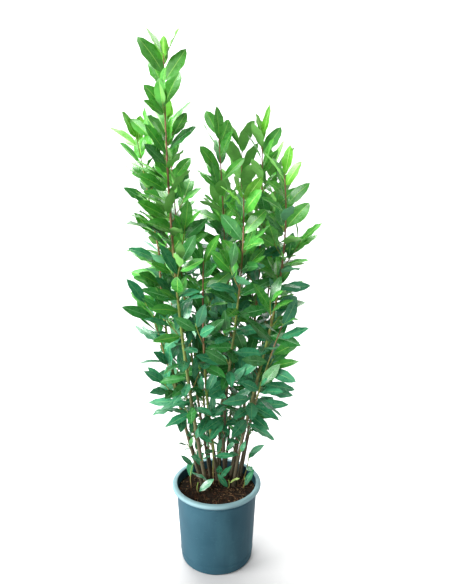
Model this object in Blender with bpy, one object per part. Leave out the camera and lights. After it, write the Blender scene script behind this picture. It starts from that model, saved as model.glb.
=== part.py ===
"""A potted bay laurel: a clump of sixteen leafy stems in a round nursery pot.

Metres, +Z up, and the front faces -Y. The origin is the middle of the pot's flat underside.
Each bare stem, each stem's foliage and each small shoot at the clump's foot is its own object.
"""

import math
import random
from collections import namedtuple

import bmesh
import bpy
from mathutils import Matrix, Vector
from mathutils.bvhtree import BVHTree

SEED = 4
GAP = 0.0003  # between pieces that touch
UP = Vector((0, 0, 1))

# Pot: a thin tapering wall under a fat rolled lip
POT_HEIGHT = 0.262
RIM_RADIUS = 0.1425
ROLL_RADIUS = 0.007
SHOULDER_RADIUS = 0.129
SHOULDER_HEIGHT = POT_HEIGHT - 2 * ROLL_RADIUS
FOOT_RADIUS = 0.116
FOOT_ROUND = 0.008
WALL = 0.0025
FLOOR = 0.003
INNER_CHAMFER = 0.003
POT_SIDES = 36
DRAIN_COUNT = 6
DRAIN_RADIUS = 0.006
DRAIN_CIRCLE = 0.082
DRAIN_SIDES = 10

# Compost, filled to a little under the lip
SOIL_LEVEL = 0.234
STEM_FOOT = SOIL_LEVEL + GAP

# Stems: round and flared at the foot, three-sided among the leaves
STEM_SIDES = 8
STEM_STEPS = (0, 0.03, 0.09, 0.3, 0.65, 1)
TWIG_SIDES = 3
STEM_RINGS = 10
TWIG_RINGS = 4
BOUGH_RINGS = 7
TIP_RADIUS = 0.0013
TAPER = 0.85
FLARE = 0.4
FLARE_HEIGHT = 0.012

# Leaves: a spiral of pointed blades, upright at a stem's tip and level or hanging lower down
GOLDEN_TURN = math.radians(137.5)
TURN_SPREAD = math.radians(13)
FIRST_LEAF = 0.004
TOP_INTERNODE = 0.010
INTERNODE_FADE = 4.0
HIGH_PITCH = math.radians(58)
LOW_PITCH = math.radians(104)
HIGH_LEAF = 1.20
LOW_LEAF = 0.35
PITCH_FADE = 0.12
PITCH_SPREAD = math.radians(11)
ROLL_SPREAD = math.radians(30)
LIGHT_SHARES = (0.35, 0.95)
CROWN_Y = 0.08
LIGHT = Vector((0, -0.75, 0.66))
LEAF_LENGTH = 0.101
YOUNG_SHARE = 0.14
YOUNG_FADE = 0.028
LOW_LONGER = 0.22
LENGTH_SPREAD = 0.12
LEAF_WIDTH = 0.44
LEAF_THICK = 0.0019
LEAF_CLEAR = 0.0007
LEAF_TURNS = tuple(math.radians(degrees) for degrees in (0, 22, -22, 45, -45, 70, -70))
LEAF_SIZES = (1, 0.84)
MOST_RANKS = 60
SLEEVE = 0.110

# Side twigs, one in place of every few leaves
FIRST_TWIG = 13
TWIG_EVERY = 7
TWIG_LENGTHS = (0.070, 0.115)
TWIG_PITCH = math.radians(40)
TWIG_RISE = 0.25
TWIG_RADIUS = 0.0021
TWIG_CLEAR = 0.003
TWIG_BARE = 0.30
TWIG_LEAF_SHARE = 0.88
TWIG_SPREAD = 24

# How a stem bears its leaves: their spacing and size, and in degrees how far they droop below
# the usual pitch and how wide they stand at its tip
Habit = namedtuple("Habit", "internode size droop spread")

TALL = Habit(internode=0.025, size=1.05, droop=-4, spread=28)
BUSHY = Habit(internode=0.0245, size=1.0, droop=-2, spread=34)
SHADED = Habit(internode=0.026, size=1.0, droop=0, spread=40)

# Small shoots at the foot of the clump
BASAL_RADIUS = 0.0021
BASAL_BOW = 0.006
BASAL_LEAVES = 3
BASAL_HABIT = Habit(internode=0.024, size=0.62, droop=12, spread=45)

Leader = namedtuple("Leader", "name foot tip bows thick bare turn habit")

# Foot on the compost and tip; where the stem bows out of the line between them, as the share of
# its height and how far sideways and back; thickness at the foot; height of the lowest leaf; the
# way that the topmost leaf points, in degrees round from +X; and how the stem bears its leaves
LEADERS = (
    Leader("left_tall", (-0.030, -0.010), (-0.135, -0.030, 1.535), ((0.3, -0.025, 0),),
           0.0125, 0.44, 175, TALL),
    Leader("left_back", (-0.045, 0.015), (-0.155, 0.080, 1.375), ((0.3, -0.050, 0),),
           0.0110, 0.46, 80, TALL),
    Leader("left_inner", (-0.020, 0.070), (-0.125, 0.020, 1.255), ((0.3, -0.010, 0),),
           0.0100, 0.46, 300, BUSHY),
    Leader("left_low", (-0.045, 0.045), (-0.190, 0.035, 0.800), ((0.5, -0.005, 0.010),),
           0.0080, 0.49, 210, SHADED),
    Leader("middle_thick", (0.005, 0.045), (-0.035, -0.020, 0.985), ((0.3, -0.015, 0.005),),
           0.0130, 0.45, 260, BUSHY),
    Leader("middle_front", (0.030, 0.060), (0.075, -0.100, 1.170), ((0.2, -0.015, 0), (0.6, 0, 0)),
           0.0120, 0.46, 250, BUSHY),
    Leader("middle_tall", (0.000, 0.090), (0.010, 0.030, 1.335), ((0.3, 0.020, 0.010),),
           0.0100, 0.44, 120, TALL),
    Leader("middle_back", (0.030, 0.100), (0.080, 0.100, 1.315), ((0.3, 0.010, 0.005),),
           0.0090, 0.44, 20, TALL),
    Leader("right_tall", (0.050, 0.075), (0.135, 0.050, 1.330), ((0.3, 0.025, 0),),
           0.0110, 0.45, 330, TALL),
    Leader("right_front", (0.055, 0.010), (0.190, -0.050, 1.225), ((0.2, 0.005, 0), (0.6, 0.035, 0)),
           0.0120, 0.46, 30, BUSHY),
    Leader("right_low", (0.070, 0.045), (0.190, -0.080, 0.805), ((0.4, -0.010, 0.015),),
           0.0080, 0.49, 290, SHADED),
    Leader("right_back", (0.080, 0.070), (0.185, 0.120, 1.260), ((0.3, 0.020, 0.005),),
           0.0090, 0.48, 60, BUSHY),
    Leader("back_left", (-0.040, 0.080), (-0.160, 0.160, 1.100), ((0.4, -0.025, 0.015),),
           0.0085, 0.48, 140, BUSHY),
    Leader("back_left_low", (-0.020, 0.100), (-0.075, 0.120, 1.015), ((0.4, -0.005, 0.025),),
           0.0090, 0.45, 190, SHADED),
    Leader("back_middle", (0.010, 0.110), (0.040, 0.170, 1.175), ((0.3, 0.010, 0.025),),
           0.0085, 0.45, 100, BUSHY),
    Leader("back_right", (0.050, 0.100), (0.135, 0.180, 1.115), ((0.4, 0.015, 0.020),),
           0.0085, 0.48, 45, BUSHY),
)

Bough = namedtuple("Bough", "leader height bend tip radius turn habit")

# Long side boughs: the leader and the height they leave it at, a bend, the tip and the radius
BOUGHS = (
    Bough("left_back", 1.000, (-0.200, 0.055, 1.180), (-0.225, 0.050, 1.330), 0.0032, 260, BUSHY),
)

BasalShoot = namedtuple("BasalShoot", "name foot tip turn")

BASAL_SHOOTS = (
    BasalShoot("right", (0.080, 0.020), (0.105, 0.020, 0.350), 0),
    BasalShoot("right_low", (0.085, -0.005), (0.090, -0.010, 0.270), 280),
    BasalShoot("front", (0.010, 0.010), (0.010, 0.000, 0.290), 250),
    BasalShoot("front_low", (0.035, -0.005), (0.040, -0.015, 0.265), 300),
    BasalShoot("left", (-0.080, 0.000), (-0.075, -0.010, 0.325), 190),
    BasalShoot("left_low", (-0.055, -0.030), (-0.060, -0.035, 0.270), 230),
    BasalShoot("inner", (-0.010, 0.020), (-0.010, 0.010, 0.390), 100),
    BasalShoot("back", (-0.060, 0.095), (-0.085, 0.100, 0.345), 120),
)

# Side to side, along and thickness of a leaf of size one: base, shoulders, neck and tip. Its upper
# side is flat and its underside is keeled from base to tip.
LEAF_POINTS = (
    (0, 0, 0),
    (-0.47, 0.36, 1), (0.47, 0.36, 1),
    (-0.42, 0.74, 1), (0.42, 0.74, 1),
    (0, 1, 0),
)
LEAF_FACES = (
    (0, 2, 1), (1, 2, 4), (1, 4, 3), (3, 4, 5),
    (0, 1, 5), (1, 3, 5), (0, 5, 2), (5, 4, 2),
)
LEAF_OUTLINE = (0, 2, 4, 5, 3, 1)
ROOM_SIDES = len(LEAF_OUTLINE)
ROOM_FACES = [range(ROOM_SIDES), range(ROOM_SIDES, 2 * ROOM_SIDES)]
ROOM_FACES += [(one, two, two + ROOM_SIDES, one + ROOM_SIDES)
               for one, two in zip(range(ROOM_SIDES), (*range(1, ROOM_SIDES), 0))]

# Colours: the linear base colour and the roughness of each material
POT_COLOUR = ((0.055, 0.150, 0.175), 0.42)
SOIL_COLOUR = ((0.045, 0.028, 0.014), 0.95)
BARK_COLOUR = ((0.150, 0.115, 0.060), 0.80)
LEAF_COLOUR = ((0.035, 0.230, 0.035), 0.38)
YOUNG_COLOUR = ((0.110, 0.420, 0.060), 0.40)


def clear_scene():
    for old in list(bpy.data.objects):
        bpy.data.objects.remove(old, do_unlink=True)


def principled(name, colour_and_roughness):
    colour, roughness = colour_and_roughness
    made = bpy.data.materials.new(name)
    made.use_nodes = True
    shader = made.node_tree.nodes["Principled BSDF"]
    shader.inputs["Base Color"].default_value = (*colour, 1)
    shader.inputs["Roughness"].default_value = roughness
    shader.inputs["Metallic"].default_value = 0
    return made


def mesh_from(bm, name):
    mesh = bpy.data.meshes.new(name)
    bm.to_mesh(mesh)
    bm.free()
    return mesh


def put(name, mesh, material):
    mesh.materials.clear()
    mesh.materials.append(material)
    made = bpy.data.objects.new(name, mesh)
    bpy.context.scene.collection.objects.link(made)
    return made


# ---------------------------------------------------------------- pot and compost

def wall_radius(height):
    """Outside radius of the tapering wall."""
    share = height / SHOULDER_HEIGHT
    return FOOT_RADIUS + (SHOULDER_RADIUS - FOOT_RADIUS) * share


def arc(centre_r, centre_z, radius, start, end, steps):
    """Points (r, z) on an arc, its angles in degrees up from the outward direction."""
    angles = [math.radians(start + (end - start) * step / steps) for step in range(steps + 1)]
    return [(centre_r + radius * math.cos(a), centre_z + radius * math.sin(a)) for a in angles]


def turned(name, profile):
    """A solid of revolution about Z from (r, z) points that start and end on the axis."""
    bm = bmesh.new()
    verts = [bm.verts.new((r, 0, z)) for r, z in profile]
    edges = [bm.edges.new(pair) for pair in zip(verts, verts[1:])]
    bmesh.ops.spin(bm, geom=verts + edges, cent=(0, 0, 0), axis=UP, angle=math.tau,
                   steps=POT_SIDES, use_merge=True)
    bmesh.ops.remove_doubles(bm, verts=bm.verts, dist=1e-6)
    bmesh.ops.recalc_face_normals(bm, faces=bm.faces)
    mesh = mesh_from(bm, name)
    mesh.shade_smooth()
    mesh.set_sharp_from_angle(angle=math.radians(40))
    return mesh


def make_drain_cutter():
    bm = bmesh.new()
    for index in range(DRAIN_COUNT):
        turn = Matrix.Rotation(math.tau * (index + 0.5) / DRAIN_COUNT, 4, "Z")
        place = turn @ Matrix.Translation((DRAIN_CIRCLE, 0, FLOOR / 2))
        bmesh.ops.create_cone(bm, cap_ends=True, segments=DRAIN_SIDES, radius1=DRAIN_RADIUS,
                              radius2=DRAIN_RADIUS, depth=3 * FLOOR, matrix=place)
    cutter = bpy.data.objects.new("drain_cutter", mesh_from(bm, "drain_cutter"))
    bpy.context.scene.collection.objects.link(cutter)
    cutter.hide_render = True
    cutter.display_type = "WIRE"
    return cutter


def make_pot():
    foot = arc(FOOT_RADIUS - FOOT_ROUND, FOOT_ROUND, FOOT_ROUND, -90, 0, 2)
    lip = arc(RIM_RADIUS - ROLL_RADIUS, POT_HEIGHT - ROLL_RADIUS, ROLL_RADIUS, -90, 90, 4)
    inner_top = SHOULDER_RADIUS - WALL
    inner_foot = wall_radius(FLOOR + INNER_CHAMFER) - WALL
    profile = [(0, 0), *foot, (SHOULDER_RADIUS, SHOULDER_HEIGHT), *lip]
    profile += [(inner_top + WALL, POT_HEIGHT), (inner_top, POT_HEIGHT - WALL), (inner_top, SHOULDER_HEIGHT)]
    profile += [(inner_foot, FLOOR + INNER_CHAMFER), (inner_foot - INNER_CHAMFER, FLOOR), (0, FLOOR)]
    pot = put("pot", turned("pot", profile), principled("pot_plastic", POT_COLOUR))
    drains = pot.modifiers.new("drains", "BOOLEAN")
    drains.operation = "DIFFERENCE"
    drains.object = make_drain_cutter()
    return pot


def make_compost():
    top = wall_radius(SOIL_LEVEL) - WALL - GAP
    low = wall_radius(FLOOR + INNER_CHAMFER) - WALL - GAP
    profile = [(0, FLOOR + GAP), (low - INNER_CHAMFER, FLOOR + GAP),
               (low, FLOOR + GAP + INNER_CHAMFER), (top, SOIL_LEVEL), (0, SOIL_LEVEL)]
    return put("compost", turned("compost", profile), principled("compost_soil", SOIL_COLOUR))


# ---------------------------------------------------------------- stems and twigs

def on_curve(points, height):
    """The point at this height on the smooth curve through points of rising height."""
    found = Vector((0, 0, 0))
    for one in points:
        weight = 1
        for other in points:
            if other is not one:
                weight *= (height - other.z) / (one.z - other.z)
        found += weight * one
    return found


def tube(stations, sides, level):
    """A closed tube through (centre, radius) stations, its rings level or square to its run."""
    bm = bmesh.new()
    ring = last = None
    for index, (centre, radius) in enumerate(stations):
        before = stations[max(index - 1, 0)][0]
        after = stations[min(index + 1, len(stations) - 1)][0]
        turn = Matrix() if level else UP.rotation_difference(after - before).to_matrix().to_4x4()
        place = Matrix.Translation(centre) @ turn @ Matrix.Scale(radius, 4)
        if ring is None:
            bmesh.ops.create_circle(bm, segments=sides, radius=1, matrix=place)
            ring = bm.edges[:]
        else:
            grown = bmesh.ops.extrude_edge_only(bm, edges=ring)["geom"]
            verts = {part for part in grown if isinstance(part, bmesh.types.BMVert)}
            edges = [part for part in grown if isinstance(part, bmesh.types.BMEdge)]
            ring = [edge for edge in edges if set(edge.verts) <= verts]
            bmesh.ops.transform(bm, matrix=place @ last.inverted(), verts=list(verts))
        last = place
    bmesh.ops.holes_fill(bm, edges=bm.edges)
    bmesh.ops.recalc_face_normals(bm, faces=bm.faces)
    bm.verts.index_update()
    return bm


def leader_points(leader):
    foot = Vector((*leader.foot, STEM_FOOT))
    tip = Vector(leader.tip)
    bows = [foot.lerp(tip, share) + Vector((side, back, 0)) for share, side, back in leader.bows]
    return [foot, *bows, tip]


def leader_radius(leader, height):
    share = (height - STEM_FOOT) / (leader.tip[2] - STEM_FOOT)
    plain = TIP_RADIUS + (leader.thick / 2 - TIP_RADIUS) * (1 - min(share, 1)) ** TAPER
    return plain * (1 + FLARE * math.exp(-(height - STEM_FOOT) / FLARE_HEIGHT))


def bare_stem(leader):
    """The bare stem, from its flat cut on the compost to its lowest leaf."""
    points = leader_points(leader)
    heights = [STEM_FOOT + (leader.bare - STEM_FOOT) * step for step in STEM_STEPS]
    stations = [(on_curve(points, z), leader_radius(leader, z)) for z in heights]
    return tube(stations, STEM_SIDES, level=True)


class Shoot:
    """A stem or twig that bears leaves, on a smooth curve that rises from its low end to its tip."""

    def __init__(self, name, points, low, radius_at, turn, habit, leaf_share=1, bare_share=0):
        self.name = name
        self.points = points
        self.low = low
        self.tip = points[-1].z
        self.radius_at = radius_at
        self.turn = math.radians(turn)
        self.habit = habit
        self.leaf_share = leaf_share * habit.size
        self.length = (self.at_height(low) - points[-1]).length
        self.leafy = self.length * (1 - bare_share)
        self.seed = random.Random(f"{SEED} {name}")
        self.in_space = self.in_sleeve
        self.twig_ranks = set()

    def at_height(self, height):
        return on_curve(self.points, height)

    def height_below_tip(self, distance):
        return self.tip - (self.tip - self.low) * distance / self.length

    def along(self, height):
        return (self.at_height(height + GAP) - self.at_height(height - GAP)).normalized()

    def leaf_distance(self, rank):
        """How far below the tip the leaf of this rank stands: close at the tip, then wider."""
        wide = self.habit.internode
        closer = (wide - TOP_INTERNODE) * INTERNODE_FADE * (1 - math.exp(-rank / INTERNODE_FADE))
        return FIRST_LEAF + wide * rank - closer

    def in_sleeve(self, point):
        """Whether the point lies in the space round this shoot that its leaves keep to."""
        middle = self.at_height(min(max(point.z, self.low), self.tip))
        return math.hypot(point.x - middle.x, point.y - middle.y) < SLEEVE

    def solid(self, rings, level, wider=0):
        heights = [self.low + (self.tip - self.low) * ring / (rings - 1) for ring in range(rings)]
        stations = [(self.at_height(z), self.radius_at(z) + wider) for z in heights]
        return tube(stations, TWIG_SIDES, level)


def thinning(start, tip, radius):
    """The radius at each height of a twig that thins evenly to its tip."""
    return lambda z: TIP_RADIUS + (radius - TIP_RADIUS) * (tip.z - z) / (tip.z - start.z)


def leader_shoot(leader):
    return Shoot(leader.name, leader_points(leader), leader.bare + GAP,
                 lambda z: leader_radius(leader, z), leader.turn, leader.habit)


def bough_shoot(bough, parent):
    start = parent.at_height(bough.height)
    tip = Vector(bough.tip)
    return Shoot(parent.name + " bough", [start, Vector(bough.bend), tip], start.z,
                 thinning(start, tip, bough.radius), bough.turn, bough.habit)


def twig_shoot(parent, rank, length, turn):
    """A side twig that leaves its parent at a leaf's place and bends upwards."""
    start = parent.at_height(parent.height_below_tip(parent.leaf_distance(rank)))
    out = Vector((math.cos(turn), math.sin(turn), 0))
    first = out * math.sin(TWIG_PITCH) + UP * math.cos(TWIG_PITCH)
    bend = start + first * length / 2
    tip = bend + (first + UP * TWIG_RISE).normalized() * length / 2
    twig = Shoot(f"{parent.name} twig {rank}", [start, bend, tip], start.z,
                 thinning(start, tip, TWIG_RADIUS), math.degrees(turn),
                 parent.habit._replace(droop=0, spread=TWIG_SPREAD), TWIG_LEAF_SHARE, TWIG_BARE)
    twig.in_space = parent.in_space
    return twig


def basal_shoot(basal):
    foot = Vector((*basal.foot, STEM_FOOT))
    tip = Vector(basal.tip)
    bow = Vector((math.cos(math.radians(basal.turn)), math.sin(math.radians(basal.turn)), 0)) * BASAL_BOW
    return Shoot("basal_shoot_" + basal.name, [foot, (foot + tip) / 2 + bow, tip], foot.z,
                 thinning(foot, tip, BASAL_RADIUS), basal.turn, BASAL_HABIT)


# ---------------------------------------------------------------- clearance

class Taken:
    """What has grown so far, so that the next piece can be tested against it."""

    def __init__(self):
        self.pieces = []

    def add(self, owner, points, faces):
        centre = sum(points, Vector()) / len(points)
        reach = max((point - centre).length for point in points)
        self.pieces.append((owner, centre, reach, BVHTree.FromPolygons(points, faces)))

    def add_solid(self, owner, bm):
        self.add(owner, *corners_of(bm))

    def is_free(self, points, faces, owner):
        """Whether a piece touches nothing but what its own stem or twig has taken."""
        centre = sum(points, Vector()) / len(points)
        reach = max((point - centre).length for point in points)
        tree = BVHTree.FromPolygons(points, faces)
        for other_owner, other_centre, other_reach, other in self.pieces:
            near = (centre - other_centre).length < reach + other_reach
            if near and other_owner != owner and tree.overlap(other):
                return False
        return True


def corners_of(bm):
    faces = [[vert.index for vert in face.verts] for face in bm.faces]
    return [vert.co.copy() for vert in bm.verts], faces


# ---------------------------------------------------------------- leaves

def leaf_place(base, direction, upper, length, width, thick):
    """The matrix that takes a leaf of size one to its place, its upper side facing upper."""
    side = direction.cross(upper).normalized()
    place = Matrix((side * width, direction * length, side.cross(direction) * thick))
    return Matrix.Translation(base) @ place.transposed().to_4x4()


def leaf_corners(place):
    return [place @ Vector(point) for point in LEAF_POINTS]


def leaf_room(base, direction, upper, length, width, thick):
    """The corners of a flat box that holds the leaf and the clearance round it."""
    side = direction.cross(upper).normalized()
    corners = []
    for lift in (-LEAF_CLEAR, thick + LEAF_CLEAR):
        for index in LEAF_OUTLINE:
            across = LEAF_POINTS[index][0] * (width + 3 * LEAF_CLEAR)
            ahead = LEAF_POINTS[index][1] * (length + 2 * LEAF_CLEAR) - LEAF_CLEAR
            corners.append(base + side * across + direction * ahead + side.cross(direction) * lift)
    return corners


def lowness(height):
    """0 for leaves high on the plant to 1 for its lowest."""
    return 1 - min(max((height - LOW_LEAF) / (HIGH_LEAF - LOW_LEAF), 0), 1)


def leaf_pitch(shoot, distance, height):
    """Angle off the stem of a leaf this far below the tip: wide lower down, past level at the foot."""
    grown = HIGH_PITCH + (LOW_PITCH - HIGH_PITCH) * lowness(height)
    young = math.radians(shoot.habit.spread)
    return grown + (young - grown) * math.exp(-distance / PITCH_FADE) + math.radians(shoot.habit.droop)


def leaf_length(shoot, distance, height):
    """A leaf's length: short at a tip, longest low on the plant."""
    young = 1 - YOUNG_SHARE * math.exp(-distance / YOUNG_FADE)
    return LEAF_LENGTH * shoot.leaf_share * young * (1 + LOW_LONGER * lowness(height))


def light_at(point):
    """Where the light comes from at this place in the crown: from above, in front or behind."""
    return LIGHT if point.y < CROWN_Y else Vector((LIGHT.x, -LIGHT.y, LIGHT.z))


def turned_to(aim, direction):
    """The way nearest to aim that a leaf pointing in this direction can face."""
    return (aim - direction * aim.dot(direction)).normalized()


def set_leaf(taken, shoot, distance, turn, pitch, roll, length, lit):
    """The place of a leaf near the wanted turn that stays in its space and touches nothing, or None."""
    height = shoot.height_below_tip(distance)
    base = shoot.at_height(height)
    along = shoot.along(height)
    frame = UP.rotation_difference(along)
    light = light_at(base)
    for size in LEAF_SIZES:
        sizes = (length * size, length * size * LEAF_WIDTH, LEAF_THICK)
        for offset in LEAF_TURNS:
            out = frame @ Vector((math.cos(turn + offset), math.sin(turn + offset), 0))
            direction = along * math.cos(pitch) + out * math.sin(pitch)
            upper = turned_to(light, direction) * lit + turned_to(along, direction) * (1 - lit)
            upper.rotate(Matrix.Rotation(roll, 3, direction))
            if not shoot.in_space(base + direction * sizes[0]):
                continue
            if taken.is_free(leaf_room(base, direction, upper, *sizes), ROOM_FACES, shoot.name):
                place = leaf_place(base, direction, upper, *sizes)
                taken.add("leaf", leaf_corners(place), LEAF_FACES)
                return place
    return None


def drawn_leaf(taken, shoot, distance, rank):
    """The leaf of this rank, its turn, pitch, roll, length and facing drawn round their usual ones."""
    spread = [shoot.seed.uniform(-1, 1) for _ in range(5)]
    height = shoot.height_below_tip(distance)
    turn = shoot.turn + rank * GOLDEN_TURN + spread[0] * TURN_SPREAD
    pitch = leaf_pitch(shoot, distance, height) + spread[1] * PITCH_SPREAD
    length = leaf_length(shoot, distance, height) * (1 + spread[3] * LENGTH_SPREAD)
    lit = LIGHT_SHARES[0] + (LIGHT_SHARES[1] - LIGHT_SHARES[0]) * (spread[4] + 1) / 2
    return set_leaf(taken, shoot, distance, turn, pitch, spread[2] * ROLL_SPREAD, length, lit)


def next_leaf(taken, shoot, rank):
    """The shoot's leaf of this rank, or None past its lowest leaf or where there is no room."""
    distance = shoot.leaf_distance(rank)
    if distance > shoot.leafy or rank in shoot.twig_ranks:
        return None
    return drawn_leaf(taken, shoot, distance, rank)


def basal_leaf(taken, shoot, rank):
    distance = FIRST_LEAF + rank * shoot.habit.internode
    if distance > shoot.length:
        return None
    return drawn_leaf(taken, shoot, distance, rank)


# ---------------------------------------------------------------- growth

def grow_twigs(taken, parent):
    """Side twigs up the parent, each turned until it has room round it."""
    twigs = []
    rank = FIRST_TWIG
    while parent.leaf_distance(rank) < parent.leafy:
        length = parent.seed.uniform(*TWIG_LENGTHS)
        for offset in LEAF_TURNS:
            twig = twig_shoot(parent, rank, length, parent.turn + rank * GOLDEN_TURN + offset)
            wide = twig.solid(TWIG_RINGS, level=False, wider=TWIG_CLEAR)
            free = taken.is_free(*corners_of(wide), parent.name)
            wide.free()
            if free:
                twigs.append(twig)
                parent.twig_ranks.add(rank)
                break
        rank += TWIG_EVERY
    return twigs


def grow_masses(taken):
    """For each leader, the solids of its leafy stem, boughs and twigs, and the places of its leaves."""
    shoots = {leader.name: [leader_shoot(leader)] for leader in LEADERS}
    solids = {}
    for name, (main,) in shoots.items():
        solids[name] = [main.solid(STEM_RINGS, level=True)]
        taken.add_solid(name, solids[name][0])
    for bough in BOUGHS:
        shoots[bough.leader].append(bough_shoot(bough, shoots[bough.leader][0]))
        solids[bough.leader].append(shoots[bough.leader][-1].solid(BOUGH_RINGS, level=False))
        taken.add_solid(shoots[bough.leader][-1].name, solids[bough.leader][-1])
    for name in shoots:
        for twig in grow_twigs(taken, shoots[name][0]):
            shoots[name].append(twig)
            solids[name].append(twig.solid(TWIG_RINGS, level=False))
            taken.add_solid(twig.name, solids[name][-1])
    leaves = {name: [] for name in shoots}
    for rank in range(MOST_RANKS):
        for name in shoots:
            found = [next_leaf(taken, shoot, rank) for shoot in shoots[name]]
            leaves[name] += [place for place in found if place]
    return solids, leaves


def joined_mesh(name, solids, leaf_places, leaf_mesh):
    """One closed mesh of a stem, its twigs and its leaves."""
    body = bpy.data.objects.new(name, mesh_from(solids[0], name))
    bpy.context.scene.collection.objects.link(body)
    helpers = bpy.data.collections.new("to_join")
    for solid in solids[1:]:
        helpers.objects.link(bpy.data.objects.new("twig", mesh_from(solid, "twig")))
    for place in leaf_places:
        leaf = bpy.data.objects.new("leaf", leaf_mesh)
        leaf.matrix_world = place
        helpers.objects.link(leaf)
    bpy.context.scene.collection.children.link(helpers)
    join = body.modifiers.new("join", "BOOLEAN")
    join.operation = "UNION"
    join.operand_type = "COLLECTION"
    join.collection = helpers
    graph = bpy.context.evaluated_depsgraph_get()
    joined = bpy.data.meshes.new_from_object(body.evaluated_get(graph))
    for spent in [body, *helpers.objects]:
        bpy.data.objects.remove(spent, do_unlink=True)
    bpy.data.collections.remove(helpers)
    drop_scraps(joined)
    return joined


def drop_scraps(mesh):
    """Leaves the largest closed surface: sealed hollows are filled and loose scraps dropped."""
    bm = bmesh.new()
    bm.from_mesh(mesh)
    left = set(bm.faces)
    shells = []
    while left:
        shell = {left.pop()}
        rim = list(shell)
        while rim:
            near = {other for edge in rim.pop().edges for other in edge.link_faces} & left
            shell |= near
            left -= near
            rim += near
        shells.append(shell)
    largest = max(shells, key=len)
    scraps = [face for face in bm.faces if face not in largest]
    bmesh.ops.delete(bm, geom=scraps, context="FACES")
    bm.to_mesh(mesh)
    bm.free()


def make_plant(pot, compost):
    leaf_mesh = bpy.data.meshes.new("leaf")
    leaf_mesh.from_pydata(LEAF_POINTS, [], LEAF_FACES)
    taken = Taken()
    for solid in (pot, compost):
        faces = [list(face.vertices) for face in solid.data.polygons]
        taken.add(solid.name, [vert.co.copy() for vert in solid.data.vertices], faces)
    for leader in LEADERS:
        name = "stem_" + leader.name
        stem = bare_stem(leader)
        taken.add_solid(name, stem)
        put(name, mesh_from(stem, name), principled(name, BARK_COLOUR))
    solids, leaves = grow_masses(taken)
    for leader in LEADERS:
        name = "foliage_" + leader.name
        mesh = joined_mesh(name, solids[leader.name], leaves[leader.name], leaf_mesh)
        put(name, mesh, principled(name, LEAF_COLOUR))
    basals = [basal_shoot(basal) for basal in BASAL_SHOOTS]
    solids = [shoot.solid(TWIG_RINGS, level=True) for shoot in basals]
    for shoot, solid in zip(basals, solids):
        taken.add_solid(shoot.name, solid)
    for shoot, solid in zip(basals, solids):
        found = [basal_leaf(taken, shoot, rank) for rank in range(BASAL_LEAVES)]
        mesh = joined_mesh(shoot.name, [solid], [place for place in found if place], leaf_mesh)
        put(shoot.name, mesh, principled(shoot.name, YOUNG_COLOUR))
    bpy.data.meshes.remove(leaf_mesh)


clear_scene()
make_plant(make_pot(), make_compost())
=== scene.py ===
"""The looks of a potted bay laurel: pot, compost, bark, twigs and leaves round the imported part.

Metres, +Z up, and the front faces -Y. Stems, twigs and leaves grow by the part's own rule, written
again here, which then carries on to finer twigs and smaller leaves within the same reach.
"""

import math
import random
from collections import namedtuple

import bmesh
import bpy
import numpy as np
from mathutils import Matrix, Vector, noise
from mathutils.bvhtree import BVHTree


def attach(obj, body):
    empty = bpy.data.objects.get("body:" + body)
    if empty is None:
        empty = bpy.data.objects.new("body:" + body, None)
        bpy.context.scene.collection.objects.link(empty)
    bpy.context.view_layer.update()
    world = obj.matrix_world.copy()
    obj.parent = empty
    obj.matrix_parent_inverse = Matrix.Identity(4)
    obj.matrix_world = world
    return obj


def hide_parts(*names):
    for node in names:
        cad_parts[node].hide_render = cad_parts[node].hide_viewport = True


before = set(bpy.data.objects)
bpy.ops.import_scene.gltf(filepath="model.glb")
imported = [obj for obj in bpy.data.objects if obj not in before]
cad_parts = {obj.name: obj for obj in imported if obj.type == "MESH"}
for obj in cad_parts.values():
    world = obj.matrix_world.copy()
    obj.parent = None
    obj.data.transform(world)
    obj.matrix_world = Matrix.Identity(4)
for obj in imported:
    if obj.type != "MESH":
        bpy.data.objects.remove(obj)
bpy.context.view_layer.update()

# ---- sizes

SEED = 4
GAP = 0.0003
UP = Vector((0, 0, 1))

# Pot
POT_HEIGHT = 0.262
RIM_RADIUS = 0.1425
ROLL_RADIUS = 0.007
SHOULDER_RADIUS = 0.129
SHOULDER_HEIGHT = POT_HEIGHT - 2 * ROLL_RADIUS
FOOT_RADIUS = 0.116
FOOT_ROUND = 0.008
WALL = 0.0025
FLOOR = 0.003
INNER_CHAMFER = 0.003
POT_SIDES = 160
THROAT_ROUND = 0.002
BEAD_RADIUS = 0.0009
BEAD_HEIGHTS = (0.030, 0.236)
DRAIN_COUNT = 6
DRAIN_RADIUS = 0.006
DRAIN_CIRCLE = 0.082
DRAIN_SIDES = 28
POT_CREASE = 40
# How fast the painted highlight on the rim's rolled lip grows up its outside
RIM_HIGHLIGHT_RISE = 1.4

# Compost
SOIL_LEVEL = 0.234
SOIL_RELIEF = 0.0045
SOIL_LUMPS = 45
SOIL_CREASE = 70
SOIL_RINGS = 44
SOIL_SIDES = 120
STEM_FOOT = SOIL_LEVEL + GAP
CHIP_COUNT = 1500
CHIP_LENGTHS = (0.0025, 0.0105)
CHIP_LEAST = 0.0016
CHIP_WIDTHS = (0.22, 0.6)
CHIP_THICKS = (0.12, 0.35)
CHIP_TILT = 0.38
CHIP_MARGIN = 0.004
CHIP_SHARES = (5, 4, 1.2)
ROOTLET_COUNT = 170
ROOTLET_LENGTHS = (0.010, 0.036)
ROOTLET_RADIUS = 0.0005
ROOTLET_LIFT = 0.0022
ROOTLET_BOW = 0.3
ROOTLET_SIDES = 5
ROOTLET_SHARES = (5, 3)

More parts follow.
